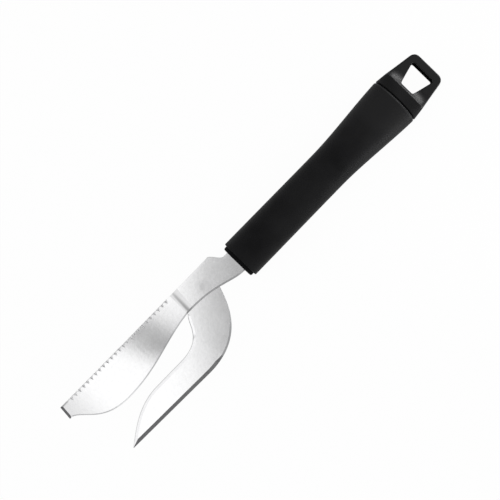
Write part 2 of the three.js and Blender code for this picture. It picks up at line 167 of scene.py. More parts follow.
SCOOP_LENGTH = 7.1
SCOOP_POWER = 1.8
RIDGE_ROUND = 0.06
TAB_HALF = 4.0
TAB_ROUND = 0.75
FRONT_ROUND = 0.25
FRONT_ROUND_LENGTH = 1.5
ROUND_LIMIT = (0.45, 0.02)  # most that a rounding takes: a share of the height, and a trace more
LEAST_HEIGHT = 0.01
HOLE_ROUND = 0.5
HOLE_AFTER_STRIP = 1.3
HOLE_END_BAR = 3.8
HOLE_NARROW_X = STRIP_END - HOLE_AFTER_STRIP
HOLE_WIDE_X = TAIL_END + HOLE_END_BAR
HOLE_NARROW_HALF = 3.75
HOLE_SIDE_BAR = 3.1
HOLE_CORNERS = (0.9, 1.6)

# Curve handles as shares of a curve's span: leaving, arriving
STRAIGHT = ((1 / 3, 1 / 3), (1 / 3, 1 / 3))
NECK_CURVE = ((0.26, 0), (0.555, 0))
BACK_CURVE = ((0.385, 0.245), (0.41, 0))
NOSE_CURVE = ((0.685, 0), (0.25, 0.2))
HOOK_CURVE = ((0.085, 0.3), (0.76, 0))
CROTCH_CURVE = ((0.23, 0.23), (0.85, 0))
POINT_CURVE = ((0.47, 0), (0.22, 0.36))
HOOK_SPLITS = (0.4, 0.6)

# Fineness of the meshes
CURVE_STEPS = 56
BACK_STEPS = 240
RIM_STEPS = 4
TOP_ROWS = 30
SCALER_STEPS = {"tang": 4, "neck": 59, "step": 29, "land": 4, "tip": 11}
GUTTER_STEPS = {"tang": 2, "neck": 8, "straight": 12}
RING_POINTS = 144
SLEEVE_STEPS = (159, 39)  # outside and inside
COLLAR_STEPS = 59
ROUND_STEPS = 8
TAIL_POINTS = (120, 90, 80, 90)  # along the front, a side, the rear and the other side
TAIL_ROUND_STEPS = 6
TAIL_ROWS = 43
SHARP_ANGLE = math.radians(25)

# Looks. Scales of noise are in features per metre and reliefs in metres. A range is the part of a noise's
# values that is used
CLOUD_RANGE = (0.35, 0.65)
STEEL_GRAIN = 2600
STEEL_GRAIN_RANGE = (0.25, 0.75)
STEEL_WAVES = 620
STEEL_CLOUDS = 90
STEEL_CLOUD_ROUGH = 0.012
STEEL_RELIEF = 0.00002
STEEL_TONE = (0.3, 0.45, 0.25)  # shares of grain, waves and clouds in the tone
STEEL_SHADES = (0.3, 0.7)
WAVE_STRENGTH = 0.2
SCRATCHES = 420
SCRATCH_STRETCH = (0.04, 1, 1)
SCRATCH_RANGE = (0.72, 0.80)
SCRATCH_CLOUDS = (0.5, 0.65)
SCRATCH_SHARE = 0.5
SCRATCH_ROUGHER = 0.1
ANY_WAY, ACROSS = (1, 1, 1), (1, 0.03, 0.3)
HARD_GRAIN = 1800
SOFT_GRAIN = 2600
COARSER = 5
PLASTIC_GRAIN_RANGE = (0.3, 0.7)
PLASTIC_CLOUDS = 60
PLASTIC_CLOUD_ROUGH = 0.04
PLASTIC_TONE = (0.35, 0.65, 0.25)  # shares of grain, clouds and rubbed edges in the tone
PLASTIC_SHADES = (0.35, 0.75)
RUBBED_RANGE = (0.52, 0.62)
RUBBED_SMOOTHER = 0.08
FINE_RELIEF = 0.00006
COARSE_RELIEF = 0.00015
COARSE_STRENGTH = 0.08
ETCH_BORDER = 0.35
ETCH_ROUGHER = 0.2
ETCH_DEPTH = 0.5
ETCH_SPECULAR = 0.07
# Painted light: the soft grip gets paler towards its rear top between these stations
REAR_LIGHT_STATIONS = (-104, -60)
REAR_LIGHT_PALER = 0.28
X_AXIS, Y_AXIS = 0, 1

# Painted light and shade: places where a steel's colour passes from one factor to another: axis, two
# stations, two factors
# Painted shade line along the toothed edge
TOOTHED_EDGE_SHADE = (Y_AXIS, EDGE + 0.35, EDGE + 0.75, 0.84, 1)
# Painted light on the hook's rim near its root
HOOK_PAINTED_LIGHT = (X_AXIS, 14, 27, 1.7, 1)
# Painted shade along the scaling blade's back rim where it lies over the gutting blade, with painted light
# further along
BACK_LIGHT_AND_SHADE = [(X_AXIS, 29, 36, 1.25, 1.5), (X_AXIS, 40, 50, 1, 0.67), (X_AXIS, 50, 90, 1, 2.3)]
WELD_STAIN = (*WELD_PLACE, 5.5, 0.85)  # middle, radius and the factor in the middle

grip_low, grip_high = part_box("grip_sleeve")
ORIGIN = np.array([
    grip_high.x + COLLAR_LENGTH * MM,
    (grip_low.y + grip_high.y) / 2,
    (grip_low.z + grip_high.z) / 2,
])


def smooth(value, low, high):
    """Rise from 0 to 1 between two limits, level at both ends."""
    share = np.clip((np.asarray(value, float) - low) / (high - low), 0, 1)
    return share * share * (3 - 2 * share)


def curve(start, end, shares=STRAIGHT):
    """Cubic curve as two functions of the share along it: place and direction."""
    start, end = np.array(start, float), np.array(end, float)
    leave = start + (end - start) * shares[0]
    arrive = end - (end - start) * shares[1]

    def place(share):
        t = np.asarray(share, float)[..., None]
        return ((1 - t) ** 3 * start + 3 * t * (1 - t) ** 2 * leave
                + 3 * t * t * (1 - t) * arrive + t ** 3 * end)

    def direction(share):
        t = np.asarray(share, float)[..., None]
        along = ((1 - t) ** 2 * (leave - start) + 2 * t * (1 - t) * (arrive - leave)
                 + t * t * (end - arrive))
        return along / np.linalg.norm(along, axis=-1, keepdims=True)

    return place, direction


def part_of(whole, first, last):
    """The same curve between two shares of it."""
    place, direction = whole
    return (lambda t: place(first + (last - first) * np.asarray(t)),
            lambda t: direction(first + (last - first) * np.asarray(t)))


def skin(rings, closed=False):
    """Quads over rings of equally many points. Open rows get a cap at each end."""
    rows, count = rings.shape[:2]
    faces = []
    for row in range(rows if closed else rows - 1):
        here, there = row * count, (row + 1) % rows * count
        for k in range(count):
            after = (k + 1) % count
            faces.append((here + k, here + after, there + after, there + k))
    if not closed:
        faces.append(tuple(range(count)))
        faces.append(tuple(range((rows - 1) * count, rows * count)))
    return rings.reshape(-1, 3), faces


def piece(name, points, faces, materials, node, marks=None, flat=False):
    """A smooth object in the frame that stands for a node. marks gives a face's material by its number,
    and flat keeps broad faces flat beside their rounded rims."""
    mesh = bpy.data.meshes.new(name)
    mesh.from_pydata(ORIGIN + np.asarray(points) * MM, [], faces)
    for material in materials:
        mesh.materials.append(material)
    if marks is not None:
        mesh.polygons.foreach_set("material_index", marks)
    shape = bmesh.new()
    shape.from_mesh(mesh)
    bmesh.ops.recalc_face_normals(shape, faces=shape.faces)
    shape.to_mesh(mesh)
    shape.free()
    mesh.shade_smooth()
    mesh.set_sharp_from_angle(angle=SHARP_ANGLE)
    made = bpy.data.objects.new(name, mesh)
    bpy.context.scene.collection.objects.link(made)
    if flat:
        made.modifiers.new("flat_faces", "WEIGHTED_NORMAL").keep_sharp = True
    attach(made, "root")
    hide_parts(node)
    return made


def crease(made, chosen):
    """Makes edges sharp that a test of their two point numbers picks."""
    for edge in made.data.edges:
        if chosen(*edge.vertices):
            edge.use_edge_sharp = True


def cut(body, cutter):
    """Takes the cutter's space out of a piece for good."""
    change = body.modifiers.new("cut", "BOOLEAN")
    change.object = cutter
    change.solver = "EXACT"
    bpy.context.view_layer.update()
    ready = body.evaluated_get(bpy.context.evaluated_depsgraph_get())
    mesh = bpy.data.meshes.new_from_object(ready)
    body.modifiers.clear()
    body.data = mesh
    mesh.set_sharp_from_angle(angle=SHARP_ANGLE)
    bpy.data.objects.remove(cutter)


# Node materials


class Nodes:
    """Short way to add and join the nodes of one material or world."""

    def __init__(self, owner):
        owner.use_nodes = True
        self.tree = owner.node_tree
        self.tree.nodes.clear()

    def add(self, kind, **settings):
        node = self.tree.nodes.new(kind)
        for key, value in settings.items():
            setattr(node, key, value)
        return node

    def join(self, source, target):
        self.tree.links.new(source, target)

    def put(self, value, socket):
        """Gives a socket another socket's value, or a number or colour of its own."""
        if isinstance(value, bpy.types.NodeSocket):
            self.join(value, socket)
        else:
            socket.default_value = value

    def feed(self, node, **values):
        """Gives a node's inputs their values by name, with _ for a space."""
        for key, value in values.items():
            self.put(value, node.inputs[key.replace("_", " ")])
        return node

    def math(self, operation, *values):
        node = self.add("ShaderNodeMath", operation=operation)
        for socket, value in zip(node.inputs, values):
            self.put(value, socket)
        return node.outputs[0]

    def blend(self, values, shares):
        """Sum of values, each taken by its share."""
        total = self.math("MULTIPLY", values[0], shares[0])
        for value, share in zip(values[1:], shares[1:]):
            total = self.math("ADD", total, self.math("MULTIPLY", value, share))
        return total

    def dot(self, vector, direction):
        node = self.add("ShaderNodeVectorMath", operation="DOT_PRODUCT")
        self.join(vector, node.inputs[0])
        node.inputs[1].default_value = direction
        return node.outputs["Value"]

    def spread(self, value, low, high, start, end, smoothly=False):
        """Passes from one number to another while a value goes from low to high."""
        node = self.add("ShaderNodeMapRange", interpolation_type="SMOOTHSTEP" if smoothly else "LINEAR")
        self.join(value, node.inputs["Value"])
        for key, number in (("From Min", low), ("From Max", high), ("To Min", start), ("To Max", end)):
            node.inputs[key].default_value = number
        return node.outputs["Result"]

    def noise(self, scale, stretch=(1, 1, 1), detail=2.0, roughness=0.5):
        """Noise with features of about 1 / scale metres, drawn out along an axis by a low stretch."""
        place = self.add("ShaderNodeTexCoord").outputs["Object"]
        turn = self.add("ShaderNodeMapping")
        self.join(place, turn.inputs["Vector"])
        turn.inputs["Scale"].default_value = stretch
        node = self.add("ShaderNodeTexNoise")
        self.join(turn.outputs["Vector"], node.inputs["Vector"])
        self.feed(node, Scale=scale, Detail=detail, Roughness=roughness)
        return node.outputs["Fac"]

    def along(self, axis, low, high, start, end):
        """Passes from one number to another between two stations on an axis, in millimetres."""
        place = self.add("ShaderNodeSeparateXYZ")
        self.join(self.add("ShaderNodeTexCoord").outputs["Object"], place.inputs[0])
        low, high = (ORIGIN[axis] + station * MM for station in (low, high))
        return self.spread(place.outputs[axis], low, high, start, end, smoothly=True)

    def around(self, x, y, radius, start):
        """Passes from a number at a spot to 1 at a radius around it, seen from above, in millimetres."""
        flat = self.add("ShaderNodeVectorMath", operation="MULTIPLY")
        self.join(self.add("ShaderNodeTexCoord").outputs["Object"], flat.inputs[0])
        flat.inputs[1].default_value = (1, 1, 0)
        away = self.add("ShaderNodeVectorMath", operation="DISTANCE")
        self.join(flat.outputs[0], away.inputs[0])
        away.inputs[1].default_value = (ORIGIN[0] + x * MM, ORIGIN[1] + y * MM, 0)
        return self.spread(away.outputs["Value"], 0, radius * MM, start, 1, smoothly=True)

    def scaled(self, colour, share):
        node = self.add("ShaderNodeVectorMath", operation="SCALE")
        self.join(colour, node.inputs[0])
        self.join(share, node.inputs["Scale"])
        return node.outputs[0]

    def shades(self, value, dark, light, low, high):
        """Colour that passes from a dark shade to a light one between two values."""
        node = self.add("ShaderNodeValToRGB")
        self.join(value, node.inputs["Fac"])
        node.color_ramp.elements[0].position = low
        node.color_ramp.elements[0].color = (*dark, 1)
        node.color_ramp.elements[1].position = high
        node.color_ramp.elements[1].color = (*light, 1)
        return node.outputs["Color"]

    def bump(self, height, strength, distance, under=None):
        node = self.add("ShaderNodeBump")
        self.feed(node, Height=height, Strength=strength, Distance=distance)
        if under is not None:
            self.join(under, node.inputs["Normal"])
        return node.outputs["Normal"]

    def surface(self, **values):
        shader = self.feed(self.add("ShaderNodeBsdfPrincipled"), **values)
        self.join(shader.outputs["BSDF"], self.add("ShaderNodeOutputMaterial").inputs["Surface"])


def steel(name, light, dark, grain, roughness, depth, painted_light_and_shade=(), spot=None):
    """Sheet steel: fine grain, drawn out along an axis where it is ground, soft clouds and a few scratches.
    Its colour is scaled along stations to paint light and shade, and around a spot for a stain."""
    material = bpy.data.materials.new(name)
    nodes = Nodes(material)
    fine = nodes.noise(STEEL_GRAIN, grain, detail=4, roughness=0.6)
    waves = nodes.noise(STEEL_WAVES, detail=2)
    clouds = nodes.noise(STEEL_CLOUDS, detail=3)
    scratches = nodes.spread(nodes.noise(SCRATCHES, SCRATCH_STRETCH, detail=1), *SCRATCH_RANGE, 0, 1)
    wear_and_painted_light = nodes.math("MULTIPLY", scratches, nodes.spread(clouds, *SCRATCH_CLOUDS, 0, SCRATCH_SHARE))
    uneven = nodes.spread(clouds, *CLOUD_RANGE, -STEEL_CLOUD_ROUGH, STEEL_CLOUD_ROUGH)
    rough = nodes.math("ADD", nodes.spread(fine, *STEEL_GRAIN_RANGE, *roughness), uneven)
    rough = nodes.math("ADD", rough, nodes.math("MULTIPLY", wear_and_painted_light, SCRATCH_ROUGHER))
    colour = nodes.shades(nodes.blend((fine, waves, clouds), STEEL_TONE), dark, light, *STEEL_SHADES)
    for painted_fade in painted_light_and_shade:
        colour = nodes.scaled(colour, nodes.along(*painted_fade))
    if spot is not None:
        colour = nodes.scaled(colour, nodes.around(*spot))
    normal = nodes.bump(fine, depth, STEEL_RELIEF, nodes.bump(waves, WAVE_STRENGTH, STEEL_RELIEF))
    nodes.surface(Base_Color=colour, Metallic=1.0, Roughness=rough, Normal=normal)
    return material


def moulded(name, dark, light, roughness, specular, grain, depth, etched=None, wear_and_painted_light=None):
    """Moulded dark plastic: fine grain, faint flow clouds and paler rubbed edges. Ahead of the station
    etched it is matt and coarser, and between two given stations it gets paler towards the rear, which is
    painted light."""
    material = bpy.data.materials.new(name)
    nodes = Nodes(material)
    fine = nodes.noise(grain, detail=3, roughness=0.65)
    coarse = nodes.noise(grain / COARSER, detail=2)
    clouds = nodes.noise(PLASTIC_CLOUDS, detail=3)
    edges = nodes.add("ShaderNodeNewGeometry").outputs["Pointiness"]
    rubbed = nodes.spread(edges, *RUBBED_RANGE, 0, 1)
    uneven = nodes.spread(clouds, *CLOUD_RANGE, -PLASTIC_CLOUD_ROUGH, PLASTIC_CLOUD_ROUGH)
    rough = nodes.math("ADD", nodes.spread(fine, *PLASTIC_GRAIN_RANGE, *roughness), uneven)
    rough = nodes.math("SUBTRACT", rough, nodes.math("MULTIPLY", rubbed, RUBBED_SMOOTHER))
    tone = nodes.blend((fine, clouds, rubbed), PLASTIC_TONE)
    if wear_and_painted_light is not None:
        # Painted light: paler towards the rear
        tone = nodes.math("ADD", tone, nodes.along(X_AXIS, *wear_and_painted_light, REAR_LIGHT_PALER, 0))
    colour = nodes.shades(tone, dark, light, *PLASTIC_SHADES)
    if etched is not None:
        border = etched, etched + ETCH_BORDER
        rough = nodes.math("ADD", rough, nodes.along(X_AXIS, *border, 0, ETCH_ROUGHER))
        depth = nodes.along(X_AXIS, *border, depth, ETCH_DEPTH)
        specular = nodes.along(X_AXIS, *border, specular, ETCH_SPECULAR)
    normal = nodes.bump(fine, depth, FINE_RELIEF, nodes.bump(coarse, COARSE_STRENGTH, COARSE_RELIEF))
    nodes.surface(Base_Color=colour, Roughness=rough, Specular_IOR_Level=specular, Normal=normal)
    return material


def grey(level, cool=0.005):
    """Grey with a trace more blue."""
    return level, level, level + cool


STEELS = [
    steel("sheet_steel", grey(0.85), grey(0.78), ANY_WAY, (0.06, 0.10), 0.06, spot=WELD_STAIN),
    steel("ground_steel", grey(0.86), grey(0.76, 0.01), ACROSS, (0.12, 0.20), 0.25),
    # Dark grey steel: a painted dark reflection on the chisel face and on the outer bevel
    steel("dark_reflection_steel", grey(0.25), grey(0.175), ACROSS, (0.24, 0.36), 0.30),
    # Dark steel of the cut edges, also used for the painted shade line along the crotch
    steel("cut_and_shade_steel", grey(0.40), grey(0.31), ANY_WAY, (0.30, 0.42), 0.20),
    steel("edge_steel", grey(0.66), grey(0.54), ACROSS, (0.24, 0.34), 0.25),
    steel("notch_steel", grey(0.87), grey(0.77), ACROSS, (0.60, 0.72), 0.25),
    # Sheet steel with a painted shade line along the toothed edge
    steel("toothed_shaded_steel", grey(0.85), grey(0.78), ANY_WAY, (0.06, 0.10), 0.06, painted_light_and_shade=[TOOTHED_EDGE_SHADE]),
    # Darker steel: painted shade on the scaling blade's back rim, lightened by painted light along it
    steel("back_shade_steel", grey(0.45), grey(0.36), ANY_WAY, (0.30, 0.42), 0.20, painted_light_and_shade=BACK_LIGHT_AND_SHADE),
    # Dark steel: painted shade on the hook's outer rim, with painted light near its root
    steel("hook_rim_shade_steel", grey(0.40), grey(0.31), ANY_WAY, (0.30, 0.42), 0.20, painted_light_and_shade=[HOOK_PAINTED_LIGHT]),
]
(SHEET_MARK, GROUND_MARK, DARK_REFLECTION_MARK, CUT_AND_SHADE_MARK, EDGE_MARK, NOTCH_MARK,
 TOOTHED_SHADE_MARK, BACK_SHADE_MARK, HOOK_RIM_SHADE_MARK) = range(len(STEELS))
HARD_PLASTIC = moulded("hard_plastic", grey(0.0085, 0.0005), grey(0.0130, 0.0005),
                       (0.34, 0.43), 0.17, HARD_GRAIN, 0.08, etched=STRIP_END)
# Painted shade in the hang hole: a darker, matt copy of the core's plastic
HOLE_SHADE_PLASTIC = moulded("hole_shade_plastic", grey(0.0055, 0.0005), grey(0.0090, 0.0005),
                       (0.60, 0.75), 0.0, HARD_GRAIN, 0.30)
# Painted shade on the collar: a darker, matt copy of the core's plastic
COLLAR_SHADE_PLASTIC = moulded("collar_shade_plastic", grey(0.0045, 0.0005), grey(0.0070, 0.0005),
                         (0.60, 0.75), 0.02, HARD_GRAIN, 0.30)
# Paler plastic: a painted highlight on the sleeve's rear rim
RIM_HIGHLIGHT_PLASTIC = moulded("rim_highlight_plastic", grey(0.026, 0.001), grey(0.034, 0.001),
                         (0.46, 0.58), 0.06, SOFT_GRAIN, 0.20)
# The soft grip is paler towards its rear top: painted light
SOFT_PLASTIC = moulded("soft_plastic", grey(0.0050, 0.0005), grey(0.0165, 0.0005),
                       (0.46, 0.58), 0.06, SOFT_GRAIN, 0.40, wear_and_painted_light=REAR_LIGHT_STATIONS)


# Scaling blade


def scaler_line(x, ahead=0):
    """Height of the middle of the scaling sheet and its slope, at a station. The step gets steeper up to its
    turn and then flatter, and the bow starts gently. ahead makes the step start sooner."""
    length = STEP_LENGTH + ahead
    share = np.clip((x - STEP_END) / length + 1, 0, 1)
    before, after = np.minimum(share, STEP_TURN), np.maximum(share - STEP_TURN, 0)
    gain, loss = (1 - STEP_ENDS[0]) / STEP_TURN, (1 - STEP_ENDS[1]) / (1 - STEP_TURN)
    steepest = 2 / (1 + STEP_ENDS[0] * STEP_TURN + STEP_ENDS[1] * (1 - STEP_TURN))
    fall = steepest * (before * (STEP_ENDS[0] + gain * before / 2) + after * (1 - loss * after / 2))
    within = (share > TINY) & (share < 1 - TINY)
    steep = within * steepest * (STEP_ENDS[0] + gain * before - loss * after) / length
    run = np.maximum(0, x - STEP_END)
    level = np.sqrt(BOW_RADIUS ** 2 - run ** 2)
    ease = BOW_EASE[0] * np.exp(-(run / BOW_EASE[1]) ** 2)
    flatter = BOW_EASE[1] ** 2 * (BOW_EASE[0] - ease) / (2 * BOW_RADIUS)
    height = SHEET / 2 - SHEET * fall + BOW_RADIUS - level - flatter
    return height, np.arctan(run / level - run * ease / BOW_RADIUS - SHEET * steep)


def pulled(x, ahead):
    """Station moved back, so that the rows of the mesh follow the start of the step."""
    return x - ahead * np.interp(x, STEP_PULL, (0, 1, 0))


def on_scaler(x, y, rise):
    """Points at a rise above the middle of the bent sheet. The step is softer on top than below, and softest
    at the toothed edge."""
    ahead = SOFT_STEP[0] + (SOFT_STEP[1] - SOFT_STEP[0]) * np.clip(y / EDGE, 0, 1)
    ahead = ahead * np.clip(rise / SHEET + 0.5, 0, 1)
    x = pulled(x, ahead)
    height, slope = scaler_line(x, ahead)
    return np.stack([x - rise * np.sin(slope), y, height + rise * np.cos(slope)], -1)


SCALER_TIP = (SCALER_REACH - CHISEL_BEVEL, EDGE + CHISEL_WIDTH)
FINE = np.linspace(0, 1, BACK_STEPS + 1)
SCALER_BACK = np.vstack([
    curve((0, TANG_TOP), (NECK_LENGTH, 0), NECK_CURVE)[0](FINE),
    curve((STEP_END, 0), CROWN, BACK_CURVE)[0](FINE),
    curve(CROWN, SCALER_TIP, NOSE_CURVE)[0](FINE[1:]),
])


def tooth_stations():
    """Stations of the notches, evenly spaced along the bow."""
    stations = []
    x = STEP_END + TEETH_AFTER_STEP
    while x <= SCALER_REACH - TEETH_BEFORE_TIP:
        stations.append(x)
        x += TOOTH_PITCH * math.cos(scaler_line(x)[1])
    return stations


LAST_ROW = RIM_STEPS + TOP_ROWS + 1


def scaler_ring(x, start, notched):
    """One section of the scaling blade: below, the back with its rim, the top face and the toothed edge.
    start is where the end begins to slant, and notched says that this is the middle of a notch."""
    back = np.interp(pulled(x, SOFT_STEP[0]), SCALER_BACK[:, 0], SCALER_BACK[:, 1])
    edge = TANG_BOTTOM + (EDGE - TANG_BOTTOM) * smooth(x, SHOULDER_START, SHOULDER_END)
    turn = np.linspace(0, math.pi / 2, RIM_STEPS + 1)
    top = SHEET / 2
    inward, drop = 1 - np.cos(turn), RIM_FALL * (1 - np.sin(turn))
    back_rim = NECK_RIM + (BOW_RIM - NECK_RIM) * smooth(x, NECK_LENGTH, STEP_END + STEP_LENGTH)
    back_inward = back_rim * np.linspace(0, 1, RIM_STEPS + 1)
    rows = np.linspace(back - back_rim, edge + NOTCH_DEPTH, TOP_ROWS)[1:]
    away = np.hypot(x - WELD_PLACE[0], rows - WELD_PLACE[1]) / WELD_RADIUS
    row_rise = top - WELD_DEPTH * np.clip(1 - away ** 2, 0, 1) ** 2
    if notched:
        share = np.linspace(0, 1, RIM_STEPS + 2)[1:]
        edge_y = edge + NOTCH_DEPTH * (1 - share)
        edge_rise = top - (SHEET - NOTCH_LAND) * share
    else:
        edge_rim = (TOOTH_RIM + (TIP_RIM - TOOTH_RIM) * smooth(x, start, start + TIP_RUN_IN)
                    + (SHOULDER_RIM - TOOTH_RIM) * (1 - smooth(x, *SHOULDER_RIM_FADES)))
        edge_y, edge_rise = edge + edge_rim * inward[::-1], top - edge_rim * drop[::-1]
    y = np.concatenate([[edge, back], back - back_inward, rows, edge_y])
    rise = np.concatenate([[-top, -top], top - RIM_FALL * (back_rim - back_inward), row_rise, edge_rise])
    slant = CHISEL_SLANT * np.clip((SCALER_TIP[1] - y) / CHISEL_WIDTH, 0, 1)
    share = max(0.0, (x - start) / (SCALER_TIP[0] - start))
    return x - share * slant, y, rise


def half_notch(centre, tooth):
    """Faces of one side of a notch: a fan over the tooth's corner and its rim, then the ground facet."""
    apex = centre + LAST_ROW
    corner = [tooth + LAST_ROW + k for k in range(RIM_STEPS + 2)]
    valley = [centre + LAST_ROW + k for k in range(RIM_STEPS + 2)]
    fan = [(apex, here, there) for here, there in zip(corner, corner[1:])]
    facet = [(corner[-1], here, there) for here, there in zip(valley, valley[1:])]
    return fan + facet, [TOOTHED_SHADE_MARK] * len(fan) + [NOTCH_MARK] * len(facet)


def scaling_blade():
    """Bent sheet from the tang to the chisel tip. A notch has three rows: a tooth, its middle, a tooth."""
    teeth = tooth_stations()
    first, last = teeth[0] - NOTCH_HALF, teeth[-1] + NOTCH_HALF
    lead = np.concatenate([
        np.linspace(-TANG_LENGTH, 0, SCALER_STEPS["tang"] + 1)[:-1],
        np.linspace(0, NECK_LENGTH, SCALER_STEPS["neck"] + 1)[:-1],
        np.linspace(NECK_LENGTH, STEP_END, SCALER_STEPS["step"] + 1)[:-1],
        np.linspace(STEP_END, first, SCALER_STEPS["land"] + 1)[:-1],
    ])
    toothed = [x + shift for x in teeth for shift in (-NOTCH_HALF, 0, NOTCH_HALF)]
    end = np.linspace(last, SCALER_TIP[0], SCALER_STEPS["tip"] + 1)[1:]
    stations = np.concatenate([lead, toothed, end])
    centres = range(len(lead) + 1, len(lead) + len(toothed), 3)
    rings = []
    for number, x in enumerate(stations):
        along, y, rise = scaler_ring(x, last, number in centres)
        if number == len(stations) - 1:
            rings.append(on_scaler(along - TIP_LAND, y, rise))
            along = along + CHISEL_BEVEL * (SHEET / 2 - rise) / SHEET
        rings.append(on_scaler(along, y, rise))
    points, quads = skin(np.array(rings))
    count = len(rings[0])
    faces, marks = [], []
    for number, quad in enumerate(quads[:-2]):
        column, k = divmod(number, count)
        if LAST_ROW <= k < count - 1 and (column in centres or column + 1 in centres):
            continue
        faces.append(quad)
        if 1 <= k <= RIM_STEPS + 1:
            # The back rim gets painted shade, and painted light further along
            marks.append(BACK_SHADE_MARK)
        elif k == count - 1 or k > LAST_ROW and not SHOULDER_END <= stations[column] < last:
            marks.append(EDGE_MARK)
        elif k >= LAST_ROW and stations[column] >= first:
            # The toothed rim and the notches' corners get the painted shade line
            marks.append(TOOTHED_SHADE_MARK)
        else:
            marks.append(SHEET_MARK)
    for centre in centres:
        for tooth in (centre - 1, centre + 1):
            more, more_marks = half_notch(centre * count, tooth * count)
            faces += more
            marks += more_marks
    faces += quads[-2:]
    # The tip's chisel face gets the painted dark reflection
    marks += [CUT_AND_SHADE_MARK, DARK_REFLECTION_MARK]
    made = piece("scaling_blade_steel", points, faces, STEELS, "scaling_blade",
                 marks, flat=True)
    bends = [number for number, x in enumerate(stations) if x in (NECK_LENGTH, STEP_END)]
    crease(made, lambda here, there: here // count == there // count and here // count in bends)


# Gutting blade


def rim(width, drop, bevelled, first, reach):
    """Way in from the edge and height below the top face, from the bottom of the edge to the top face.
    first gives the shares of a bevel's width and height that its edge takes."""
    turn = np.linspace(0, math.pi / 2, RIM_STEPS + 1)
    flat_in, flat_up = (np.concatenate([[0], np.linspace(share, 1, RIM_STEPS)]) for share in first)
    inward = width * (bevelled * flat_in + (1 - bevelled) * (1 - np.cos(turn)))
    climb = bevelled * flat_up + (1 - bevelled) * np.sin(turn)
    return np.concatenate([[0], inward * reach]), np.concatenate([[-SHEET], -drop + drop * climb * reach])


def gutter_ring(inner, inner_along, outer, outer_along):
    """One section of the gutting blade between a place on its inner edge and one on its outer edge, with the
    directions of both edges there."""
    sides = []
    inner_share = smooth(inner[0], STEP_END, STEP_END + INNER_RUN_IN)
    outer_share = smooth(outer[0], OUTER_BEVEL_START, OUTER_BEVEL_START + OUTER_RUN_IN)
    inner_width = CROTCH_RIM + (INNER_BEVEL - CROTCH_RIM) * inner_share
    hook_width = HOOK_RIM[0] + (HOOK_RIM[1] - HOOK_RIM[0]) * smooth(outer[0], *HOOK_RIM_GROWS)
    outer_width = hook_width + (OUTER_BEVEL - hook_width) * outer_share
    reach = min(1.0, np.linalg.norm(outer - inner) / (inner_width + outer_width))
    honed = smooth(inner[0], *CROTCH_BEVEL_END)
    inner_first = [shallow + (full - shallow) * honed for shallow, full in zip(CROTCH_BEVEL, HONED_BEVEL)]
    for edge, along, side, width, share, first in (
        (inner, inner_along, 1, inner_width, inner_share, inner_first),
        (outer, outer_along, -1, outer_width, outer_share, EVEN_BEVEL),
    ):
        drop = RIM_FALL * width * (1 - share) + (SHEET - BEVEL_LAND) * share
        inward, height = rim(width, drop, share, first, reach)
        across = side * np.array([-along[1], along[0]])
        flat = edge + inward[:, None] * across
        sides.append(np.column_stack([flat, height]))
    return np.vstack([sides[0], sides[1][::-1]])


